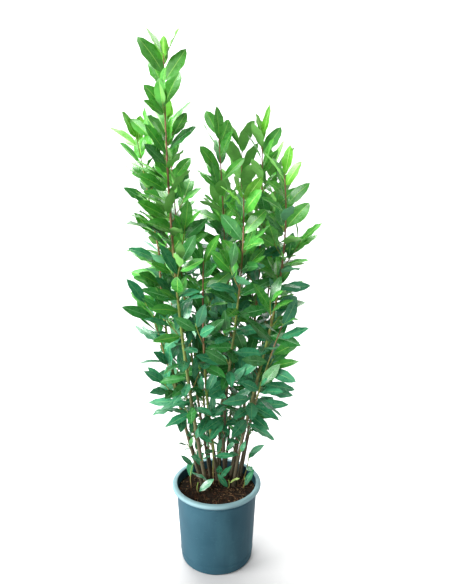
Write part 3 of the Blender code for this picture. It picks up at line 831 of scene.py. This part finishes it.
class Shoot:
    """A stem or twig that bears leaves, on a smooth curve that rises to its tip."""

    def __init__(self, name, points, low, radius_at, turn, habit, leaf_share=1, bare_share=0):
        self.name = name
        self.points = points
        self.low = low
        self.tip = points[-1].z
        self.radius_at = radius_at
        self.turn = math.radians(turn)
        self.habit = habit
        self.leaf_share = leaf_share * habit.size
        self.length = (self.at_height(low) - points[-1]).length
        self.leafy = self.length * (1 - bare_share)
        self.seed = random.Random(f"{SEED} {name}")
        self.in_space = self.in_sleeve
        self.twig_ranks = set()
        self.nodes = []

    def at_height(self, height):
        return on_curve(self.points, height)

    def height_below_tip(self, distance):
        return self.tip - (self.tip - self.low) * distance / self.length

    def along(self, height):
        return (self.at_height(height + GAP) - self.at_height(height - GAP)).normalized()

    def leaf_distance(self, rank):
        """How far below the tip this rank's leaf stands: close at first, then wider."""
        wide = self.habit.internode
        closer = (wide - TOP_INTERNODE) * INTERNODE_FADE * (1 - math.exp(-rank / INTERNODE_FADE))
        return FIRST_LEAF + wide * rank - closer

    def in_sleeve(self, point):
        middle = self.at_height(min(max(point.z, self.low), self.tip))
        return math.hypot(point.x - middle.x, point.y - middle.y) < SLEEVE

    def solid(self, rings, turn, wider=0):
        heights = [self.low + (self.tip - self.low) * ring / (rings - 1) for ring in range(rings)]
        stations = [(self.at_height(z), self.radius_at(z) + wider) for z in heights]
        return tube(stations, TWIG_SIDES, turn)


def thinning(start, tip, radius):
    return lambda z: TIP_RADIUS + (radius - TIP_RADIUS) * (tip.z - z) / (tip.z - start.z)


def leader_shoot(leader):
    return Shoot(leader.name, leader_points(leader), leader.bare + GAP,
                 lambda z: leader_radius(leader, z), leader.turn, leader.habit)


def bough_shoot(bough, parent):
    start = parent.at_height(bough.height)
    tip = Vector(bough.tip)
    return Shoot(parent.name + " bough", [start, Vector(bough.bend), tip], start.z,
                 thinning(start, tip, bough.radius), bough.turn, bough.habit)


def side_shoot(parent, rank, length, turn, kind):
    """A shoot that leaves its parent at a leaf's place and bends upwards."""
    start = parent.at_height(parent.height_below_tip(parent.leaf_distance(rank)))
    first = outwards(turn) * math.sin(SIDE_PITCH) + UP * math.cos(SIDE_PITCH)
    bend = start + first * length / 2
    tip = bend + (first + UP * SIDE_RISE).normalized() * length / 2
    habit = parent.habit._replace(droop=0, spread=SIDE_SPREAD)
    shoot = Shoot(f"{parent.name} twig {rank}", [start, bend, tip], start.z,
                  thinning(start, tip, kind.radius), math.degrees(turn), habit,
                  kind.leaf_share, kind.bare)
    shoot.in_space = parent.in_space
    return shoot


def basal_shoot(basal):
    foot = Vector((*basal.foot, STEM_FOOT))
    tip = Vector(basal.tip)
    middle = (foot + tip) / 2 + outwards(math.radians(basal.turn)) * BASAL_BOW
    return Shoot("basal_shoot_" + basal.name, [foot, middle, tip], foot.z,
                 thinning(foot, tip, BASAL_RADIUS), basal.turn, BASAL_HABIT)


# ---- clearance

def ball(points):
    """The middle of some points, and how far the farthest is from it."""
    centre = sum(points, Vector()) / len(points)
    return centre, max((point - centre).length for point in points)


class Taken:
    """What has grown so far, for testing the next piece against."""

    def __init__(self):
        self.pieces = []

    def add(self, owner, points, faces):
        self.pieces.append((owner, *ball(points), BVHTree.FromPolygons(points, faces)))

    def is_free(self, points, faces, *owners):
        """Whether a piece touches nothing but what these owners have taken."""
        centre, reach = ball(points)
        tree = BVHTree.FromPolygons(points, faces)
        for owner, other_centre, other_reach, other in self.pieces:
            near = (centre - other_centre).length < reach + other_reach
            if near and owner not in owners and tree.overlap(other):
                return False
        return True


def corners_of(bm):
    """A bmesh's points and faces. The bmesh is freed."""
    points = [vert.co.copy() for vert in bm.verts]
    faces = [[vert.index for vert in face.verts] for face in bm.faces]
    bm.free()
    return points, faces


# ---- where the leaves stand

class Leaf(namedtuple("Leaf", "shoot base ahead side upper length width distance")):
    """A leaf on its shoot: its place, directions, size and distance from the tip."""

    def at(self, across, reach, lift):
        return self.base + self.side * across + self.ahead * reach + self.upper * lift

    def corners(self):
        return [self.at(x * self.width, y * self.length, z * LEAF_THICK) for x, y, z in LEAF_POINTS]

    def room(self):
        """The corners of a flat box round the leaf and its clearance."""
        width = self.width + 3 * LEAF_CLEAR
        length = self.length + 2 * LEAF_CLEAR
        outline = [LEAF_POINTS[index] for index in LEAF_OUTLINE]
        return [self.at(x * width, y * length - LEAF_CLEAR, lift)
                for lift in (-LEAF_CLEAR, LEAF_THICK + LEAF_CLEAR) for x, y, _ in outline]


def lowness(height):
    """0 for leaves high on the plant to 1 for its lowest."""
    return 1 - min(max((height - LOW_LEAF) / (HIGH_LEAF - LOW_LEAF), 0), 1)


def leaf_pitch(shoot, distance, height):
    """A leaf's angle off its stem: steep at the tip, past level at the foot."""
    grown = HIGH_PITCH + (LOW_PITCH - HIGH_PITCH) * lowness(height)
    young = math.radians(shoot.habit.spread)
    return grown + (young - grown) * math.exp(-distance / PITCH_FADE) + math.radians(shoot.habit.droop)


def leaf_length(shoot, distance, height):
    """A leaf's length: short at a tip, longest low on the plant."""
    young = 1 - YOUNG_SHARE * math.exp(-distance / YOUNG_FADE)
    return LEAF_LENGTH * shoot.leaf_share * young * (1 + LOW_LONGER * lowness(height))


def light_at(point):
    """Where the light comes from here: above and in front, or above and behind."""
    return LIGHT if point.y < CROWN_Y else Vector((LIGHT.x, -LIGHT.y, LIGHT.z))


def turned_to(aim, ahead):
    """The direction nearest to aim that a leaf pointing ahead can face."""
    return (aim - ahead * aim.dot(ahead)).normalized()


def drawn_leaf(taken, shoot, distance, rank, turns=LEAF_TURNS):
    """A leaf drawn round its rank's usual turn that has room in its space, or None."""
    spread = [shoot.seed.uniform(-1, 1) for _ in range(5)]
    height = shoot.height_below_tip(distance)
    turn = shoot.turn + rank * GOLDEN_TURN + spread[0] * TURN_SPREAD
    pitch = leaf_pitch(shoot, distance, height) + spread[1] * PITCH_SPREAD
    length = leaf_length(shoot, distance, height) * (1 + spread[3] * LENGTH_SPREAD)
    lit = LIGHT_SHARES[0] + (LIGHT_SHARES[1] - LIGHT_SHARES[0]) * (spread[4] + 1) / 2
    base = shoot.at_height(height)
    along = shoot.along(height)
    bend = UP.rotation_difference(along)
    light = light_at(base)
    for size in LEAF_SIZES:
        sizes = (length * size, length * size * LEAF_WIDTH)
        for offset in turns:
            ahead = along * math.cos(pitch) + bend @ outwards(turn + offset) * math.sin(pitch)
            facing = turned_to(light, ahead) * lit + turned_to(along, ahead) * (1 - lit)
            facing.rotate(Matrix.Rotation(spread[2] * ROLL_SPREAD, 3, ahead))
            if not shoot.in_space(base + ahead * sizes[0]):
                continue
            side = ahead.cross(facing).normalized()
            leaf = Leaf(shoot, base, ahead, side, side.cross(ahead), *sizes, distance)
            if taken.is_free(leaf.room(), ROOM_FACES, shoot.name):
                taken.add("leaf", leaf.corners(), LEAF_FACES)
                shoot.nodes.append(height)
                return leaf
    return None


def next_leaf(taken, shoot, rank):
    """The shoot's leaf of this rank, or None below its lowest or without room."""
    distance = shoot.leaf_distance(rank)
    if distance > shoot.leafy or rank in shoot.twig_ranks:
        return None
    return drawn_leaf(taken, shoot, distance, rank)


def between_leaf(taken, shoot, rank):
    """A leaf half-way between two ranks, at whichever turn has room."""
    distance = shoot.leaf_distance(rank + 0.5)
    if not BETWEEN_BELOW < distance < shoot.leafy:
        return None
    return drawn_leaf(taken, shoot, distance, rank + 0.5, BETWEEN_TURNS)


def basal_leaf(taken, shoot, rank):
    distance = FIRST_LEAF + rank * shoot.habit.internode
    if distance > shoot.length:
        return None
    return drawn_leaf(taken, shoot, distance, rank)


# ---- growth

def grow_sides(taken, parent, kind, below=0):
    """Side shoots up a parent, each turned until it has room, and low spurs below."""
    grown = []
    rank = kind.first
    while parent.leaf_distance(rank) < parent.leafy + below:
        if parent.leaf_distance(rank) > parent.leafy:
            kind = LOW_SPUR
        length = parent.seed.uniform(*kind.lengths)
        for offset in kind.turns:
            side = side_shoot(parent, rank, length, parent.turn + rank * GOLDEN_TURN + offset, kind)
            room = corners_of(side.solid(TWIG_RINGS, rising, wider=kind.clear))
            if taken.is_free(*room, parent.name, "stem_" + parent.name):
                taken.add(side.name, *corners_of(side.solid(TWIG_RINGS, rising)))
                parent.twig_ranks.add(rank)
                grown.append(side)
                break
        rank += kind.every
    return grown


def grow_masses(taken):
    """Each leader's shoots and their leaves, in the part's order of growth."""
    shoots = {leader.name: [leader_shoot(leader)] for leader in LEADERS}
    for name, (main,) in shoots.items():
        taken.add(name, *corners_of(main.solid(STEM_RINGS, level)))
    for bough in BOUGHS:
        grown = bough_shoot(bough, shoots[bough.leader][0])
        shoots[bough.leader].append(grown)
        taken.add(grown.name, *corners_of(grown.solid(BOUGH_RINGS, rising)))
    for own in shoots.values():
        own += grow_sides(taken, own[0], TWIG)
    leaves = {name: [] for name in shoots}
    for rank in range(MOST_RANKS):
        for name in shoots:
            leaves[name] += [next_leaf(taken, shoot, rank) for shoot in shoots[name]]
    return shoots, leaves


def grow_finer(taken, shoots, leaves):
    """Carries the masses on to spurs and to leaves at half ranks."""
    for name, own in shoots.items():
        spurs = grow_sides(taken, own[0], SPUR, SPURS_BELOW)
        for shoot in own[1:]:
            spurs += grow_sides(taken, shoot, SPUR)
        leaves[name] += [next_leaf(taken, spur, rank) for spur in spurs for rank in range(SPUR_RANKS)]
        own += spurs
    for rank in range(MOST_RANKS):
        for name in shoots:
            leaves[name] += [between_leaf(taken, shoot, rank) for shoot in shoots[name]]


# ---- leaf meshes

def leaf_template():
    """A closed leaf of size one: x across -1 to 1, y along 0 to 1, z 1 above and -1 below."""
    bm = bmesh.new()
    rows = len(LEAF_ROWS) - 1
    for columns, lift in ((UPPER_COLUMNS, 1), (UNDER_COLUMNS, -1)):
        side = bmesh.ops.create_grid(bm, x_segments=len(columns) - 1, y_segments=rows, size=1)["verts"]
        for index, vert in enumerate(side):
            across = columns[index % len(columns)]
            ahead = LEAF_ROWS[index // len(columns)]
            inside = abs(across) < 1 and 0 < ahead < 1
            vert.co = (0 if ahead in (0, 1) else across, ahead, lift if inside else 0)
        if lift < 0:
            faces = {face for vert in side for face in vert.link_faces}
            bmesh.ops.reverse_faces(bm, faces=list(faces))
    bmesh.ops.remove_doubles(bm, verts=bm.verts, dist=1e-5)
    bmesh.ops.dissolve_degenerate(bm, edges=bm.edges, dist=1e-5)
    bm.verts.index_update()
    bm.faces.index_update()
    points, faces = corners_of(bm)
    return np.array(points), faces


def outline(ahead, widest, bluntness):
    """Half the blade's width along the leaf, as a share of its full width."""
    blade = np.clip((ahead - STALK_END) / (1 - STALK_END), 0, 1)
    shape = 0.5 * np.sin(math.pi * blade ** widest) ** bluntness
    return np.where(ahead < 1, np.maximum(shape, STALK_WIDTH / 2), 0)


def leaf_shapes(leaves, points, draw):
    """Every leaf's points, folded, arched, twisted and waved its own way."""
    across, ahead, lift = points.T

    def each(low, high):
        return draw.uniform(low, high, (len(leaves), 1))

    length = np.array([[leaf.length] for leaf in leaves])
    lows = np.array([[lowness(leaf.base.z)] for leaf in leaves])
    width = np.array([[leaf.width] for leaf in leaves]) * each(*NARROWINGS) * (1 - LOW_NARROWING * lows)
    flatter = 1 - YOUNG_FLATTER * np.array([[math.exp(-leaf.distance / CURL_FADE)] for leaf in leaves])
    half = outline(ahead, each(*WIDEST), each(*BLUNTNESS) + LOW_SHARPER * lows) * width
    swing = math.tau * each(*WAVE_COUNTS) * ahead + each(0, math.tau) + np.sign(across) * each(*MARGIN_LAGS)
    bell = np.sin(math.pi * np.clip(ahead, 0, 1)) ** 0.6 * (ahead > STALK_END)
    x = across * half * (1 + MARGIN_RIPPLE * np.sin(swing * RIPPLE_FASTER) * bell)
    wave = each(*WAVES) * flatter * np.sin(swing) * bell * across ** 2
    rib = RIB_STANDS * (abs(across) < RIB_HALF) * (lift < 0)
    thick = np.where(ahead <= STALK_END, STALK_THICK, BLADE_THICK + rib)
    z = each(*FOLDS) * abs(x) * (1 - MARGIN_FLATTER * abs(across)) + wave + lift * thick / 2
    arch = each(*ARCHES) * flatter
    twist = each(*TWISTS) * ahead
    x, z = x * np.cos(twist) - z * np.sin(twist), x * np.sin(twist) + z * np.cos(twist)
    arch = np.where(abs(arch) < LEAST_ARCH, LEAST_ARCH, arch)
    bent = arch * (ahead - 0.5)
    y = length * (np.sin(bent) + np.sin(arch / 2)) / arch + z * np.sin(bent)
    z = length * (np.cos(bent) - np.cos(arch / 2)) / arch + z * np.cos(bent)
    axes = np.array([(leaf.side, leaf.ahead, leaf.upper) for leaf in leaves])
    turned_points = np.einsum("nvk,nkc->nvc", np.stack([x, y, z], axis=2), axes)
    return turned_points + np.array([leaf.base for leaf in leaves])[:, None]


def tone_of(leaf, draw):
    """A leaf's upper side, underside and rib: lime at a tip, blue-green low down."""
    if leaf.distance < FADED.get(leaf.shoot.name, 0):
        return "leaf_pale", "under_high", "rib_high"
    height = leaf.base.z
    yellower = height + draw.uniform(-UNDER_MIX, UNDER_MIX) > UNDER_TURNS
    if leaf.distance < NEW_GROWTH.get(leaf.shoot.name, 0) * draw.uniform(*NEW_REACH):
        return "leaf_lime", "under_high", "rib_lime"
    share = height - TONE_FOOT + draw.uniform(-TONE_MIX, TONE_MIX)
    share += TIP_FRESHER * math.exp(-leaf.distance / TIP_FADE) * (height > TIPS_ABOVE)
    tones = ("leaf_blue", "leaf_deep", "leaf_mid", "leaf_fresh")
    upper = tones[min(max(int(share * 4), 0), 3)]
    return upper, "under_high" if yellower else "under_low", "rib_high" if share > 0.5 else "rib_low"


def leaves_mesh(name, leaves, template, finishes, draw):
    """One mesh of these leaves, each with its tone, and maps for veins and baking."""
    points, faces = template
    shapes = leaf_shapes(leaves, points, draw)
    middles = [points[face].mean(axis=0) for face in faces]
    slots = list(finishes)
    kinds = []
    for leaf in leaves:
        upper, under, rib = tone_of(leaf, draw)
        for across, ahead, lift in middles:
            blade = under if lift < 0 else rib if abs(across) < RIB_HALF else upper
            kinds.append(slots.index("leaf_stalk" if ahead < STALK_END else blade))
    mesh = many(name, faces, shapes, kinds)
    corners = np.concatenate([points[face] for face in faces])
    flat = np.stack([corners[:, 0] / 2 + 0.5, corners[:, 1]], axis=1)
    mesh.uv_layers.new(name="leaf").uv.foreach_set("vector", np.tile(flat, (len(leaves), 1)).ravel())
    under_side = np.concatenate([[middle[2] < 0] * len(face) for middle, face in zip(middles, faces)])
    sheet = atlas(flat, under_side, len(leaves))
    mesh.uv_layers.new(name="OFBake").uv.foreach_set("vector", sheet.ravel())
    return smoothed(mesh, LEAF_CREASE)


def atlas(flat, under_side, count):
    """Bake coordinates: each side of each leaf has its own cell of a square sheet."""
    rows = math.ceil(math.sqrt(count * 2 / CELL_SHAPE))
    columns = math.ceil(count * 2 / rows)
    cells = np.arange(count)[:, None] * 2 + under_side[None]
    inset = CELL_INSET + flat * (1 - 2 * CELL_INSET)
    across = (cells % columns + inset[None, :, 0]) / columns
    ahead = (cells // columns + inset[None, :, 1]) / rows
    return np.stack([across, ahead], axis=2)


# ---- bark and twigs

def bark_tube(shoot, low, sides, step, age_at):
    """A tube with ridges, wrinkles and swollen nodes, and each point's age."""
    count = max(int((shoot.tip - low) / step), 3)
    heights = [low + (shoot.tip - low) * ring / count for ring in range(count + 1)]
    bm = tube([(shoot.at_height(z), shoot.radius_at(z)) for z in heights], sides, level)
    age = bm.verts.layers.float.new("age")
    for vert in bm.verts:
        middle = shoot.at_height(vert.co.z)
        out = vert.co - middle
        out.z = 0
        near = min((abs(vert.co.z - node) for node in shoot.nodes), default=1)
        swell = NODE_SWELL * math.exp(-(near / NODE_LENGTH) ** 2)
        place = Vector((out.x * RIDGES_ROUND, out.y * RIDGES_ROUND, vert.co.z * RIDGES_UP))
        ridge = noise.noise(place + middle * 50)
        vert.co += out * (BARK_RELIEF * ridge + swell)
        vert[age] = age_at(vert.co.z)
    return bm


def joined_bmesh(parts):
    """One bmesh of several, which it frees."""
    whole = bmesh.new()
    whole.verts.layers.float.new("age")
    for part in parts:
        mesh = bpy.data.meshes.new("part")
        part.to_mesh(mesh)
        part.free()
        whole.from_mesh(mesh)
        bpy.data.meshes.remove(mesh)
    return whole


def bud(shoot):
    """A pointed bud on a shoot's tip."""
    bm = bmesh.new()
    along = shoot.along(shoot.tip - GAP)
    place = Matrix.Translation(shoot.points[-1] + along * BUD_LENGTH * 0.35)
    size = Matrix.Diagonal((BUD_WIDTH, BUD_WIDTH, BUD_LENGTH, 1))
    bmesh.ops.create_uvsphere(bm, u_segments=6, v_segments=5, radius=0.5,
                              matrix=place @ rising(along) @ size)
    bm.verts.layers.float.new("age")
    return bm


def twig_tube(shoot):
    span = max(shoot.tip - shoot.low, GAP)
    return bark_tube(shoot, shoot.low, FINE_SIDES, FINE_STEP, lambda z: (shoot.tip - z) / span)


def make_bark(side, leaders, shoots, finish):
    """The stems of one side of the clump, from the compost to their tips."""
    tubes = []
    for leader in leaders:
        main = shoots[leader.name][0]
        span = main.tip - STEM_FOOT
        more = STEM_AGES.get(leader.name, 0)
        tubes.append(bark_tube(main, STEM_FOOT, BARK_SIDES, BARK_STEP,
                               lambda z: (main.tip - z) / span + more))
    mesh = mesh_from(joined_bmesh(tubes), "stems_" + side)
    put("stems_" + side, mesh, [finish], ["stem_" + leader.name for leader in leaders])


def make_twigs(side, fine, tips, finish):
    bm = joined_bmesh([*map(twig_tube, fine), *map(bud, tips)])
    put("twigs_" + side, mesh_from(bm, "twigs_" + side), [finish], [])


# ---- the plant

def grow_plant():
    """Every shoot and leaf: the part's own, then the finer ones."""
    taken = Taken()
    for name in ("pot", "compost"):
        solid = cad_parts[name].data
        faces = [list(face.vertices) for face in solid.polygons]
        taken.add(name, [vert.co.copy() for vert in solid.vertices], faces)
    for leader in LEADERS:
        taken.add("stem_" + leader.name, *corners_of(bare_stem(leader)))
    shoots, leaves = grow_masses(taken)
    basals = [basal_shoot(basal) for basal in BASAL_SHOOTS]
    for shoot in basals:
        taken.add(shoot.name, *corners_of(shoot.solid(TWIG_RINGS, level)))
    leaves["basal"] = [basal_leaf(taken, shoot, rank) for shoot in basals for rank in range(BASAL_LEAVES)]
    grow_finer(taken, shoots, leaves)
    return shoots, basals, {name: [leaf for leaf in found if leaf] for name, found in leaves.items()}


def make_plant():
    shoots, basals, leaves = grow_plant()
    finishes = {name: leaf_finish(name, colour) for name, colour in LEAF_TONES.items()}
    finishes.update({name: under_finish(name, colour) for name, colour in UNDER_TONES.items()})
    finishes.update({name: rib_finish(name, colour) for name, colour in RIB_TONES.items()})
    template = leaf_template()
    draw = np.random.default_rng(SEED)
    for name, found in leaves.items():
        mesh = leaves_mesh("leaves_" + name, found, template, finishes, draw)
        nodes = ["foliage_" + name] if name in shoots else [shoot.name for shoot in basals]
        put("leaves_" + name, mesh, finishes.values(), nodes)
    bark = bark_finish()
    twig = twig_finish()
    for side in ("left", "middle", "right", "back"):
        leaders = [leader for leader in LEADERS if leader.name.startswith(side)]
        make_bark(side, leaders, shoots, bark)
        grown = [shoots[leader.name] for leader in leaders]
        make_twigs(side, [shoot for own in grown for shoot in own[1:]], sum(grown, []), twig)
    make_twigs("basal", basals, basals, twig)


# ---- studio

# The camera: where it stands, its focal length, and how far it looks down and to the side
CAMERA_PLACE = (0, -1.58, 1.252)
FRAME_HEIGHT = 584
FOCAL_PIXELS = 546
SENSOR = 36
CAMERA_DOWN = math.radians(13.05)
CAMERA_ASIDE = math.atan(-10.5 / FOCAL_PIXELS)

# The backdrop: how far the floor reaches, and where and how tightly it curves up into the wall
FLOOR_REACH = 6
SWEEP_START = 2.2
SWEEP_RADIUS = 1.2
WALL_TOP = 5

# Square lamps: place, aim, size and power
LAMPS = {
    "key": ((-3.6, -1.2, 1.4), (0, 0, 0.6), 1.8, 255),
    "front": ((-1.8, -2.6, 2.2), (0, 0, 0.9), 1.2, 60),
    "top": ((-0.4, 1.5, 3.9), (0, 0.05, 0.8), 1.8, 150),
    "wall_wash": ((0, 1.6, 3.6), (0, 3.2, 0.6), 3.0, 250),
}
ROOM_LIGHT = 0.45


def make_camera():
    camera = stand("camera", bpy.data.cameras.new("camera"))
    camera.data.sensor_width = SENSOR
    camera.data.lens = SENSOR * FOCAL_PIXELS / FRAME_HEIGHT
    camera.location = CAMERA_PLACE
    camera.rotation_euler = (math.pi / 2 - CAMERA_DOWN, 0, CAMERA_ASIDE)
    bpy.context.scene.camera = camera


def make_lamp(name, place, aim, size, power):
    lamp = stand(name, bpy.data.lights.new(name, "AREA"))
    lamp.data.size = size
    lamp.data.energy = power
    lamp.location = place
    lamp.rotation_euler = (Vector(aim) - Vector(place)).to_track_quat("-Z", "Y").to_euler()


def make_backdrop():
    """A pale floor that curves up into a wall behind the plant."""
    sweep = arc(SWEEP_START, SWEEP_RADIUS, SWEEP_RADIUS, -90, 0, 16)
    profile = [(-FLOOR_REACH, 0), *sweep, (SWEEP_START + SWEEP_RADIUS, WALL_TOP)]
    bm = bmesh.new()
    verts = [bm.verts.new((-FLOOR_REACH, y, z)) for y, z in profile]
    edges = [bm.edges.new(pair) for pair in zip(verts, verts[1:])]
    grown = bmesh.ops.extrude_edge_only(bm, edges=edges)["geom"]
    moved = [part for part in grown if isinstance(part, bmesh.types.BMVert)]
    bmesh.ops.translate(bm, verts=moved, vec=(2 * FLOOR_REACH, 0, 0))
    backdrop = stand("backdrop", mesh_from(bm, "backdrop"))
    backdrop.data.materials.append(floor_finish())


def make_studio():
    make_backdrop()
    world = bpy.data.worlds.new("studio")
    world.use_nodes = True
    background = world.node_tree.nodes["Background"]
    background.inputs["Color"].default_value = (1, 1, 1, 1)
    background.inputs["Strength"].default_value = ROOM_LIGHT
    bpy.context.scene.world = world
    for name, lamp in LAMPS.items():
        make_lamp(name, *lamp)
    bpy.context.scene.view_settings.view_transform = "Standard"


make_camera()
make_pot()
make_compost()
make_chips()
make_plant()
make_studio()
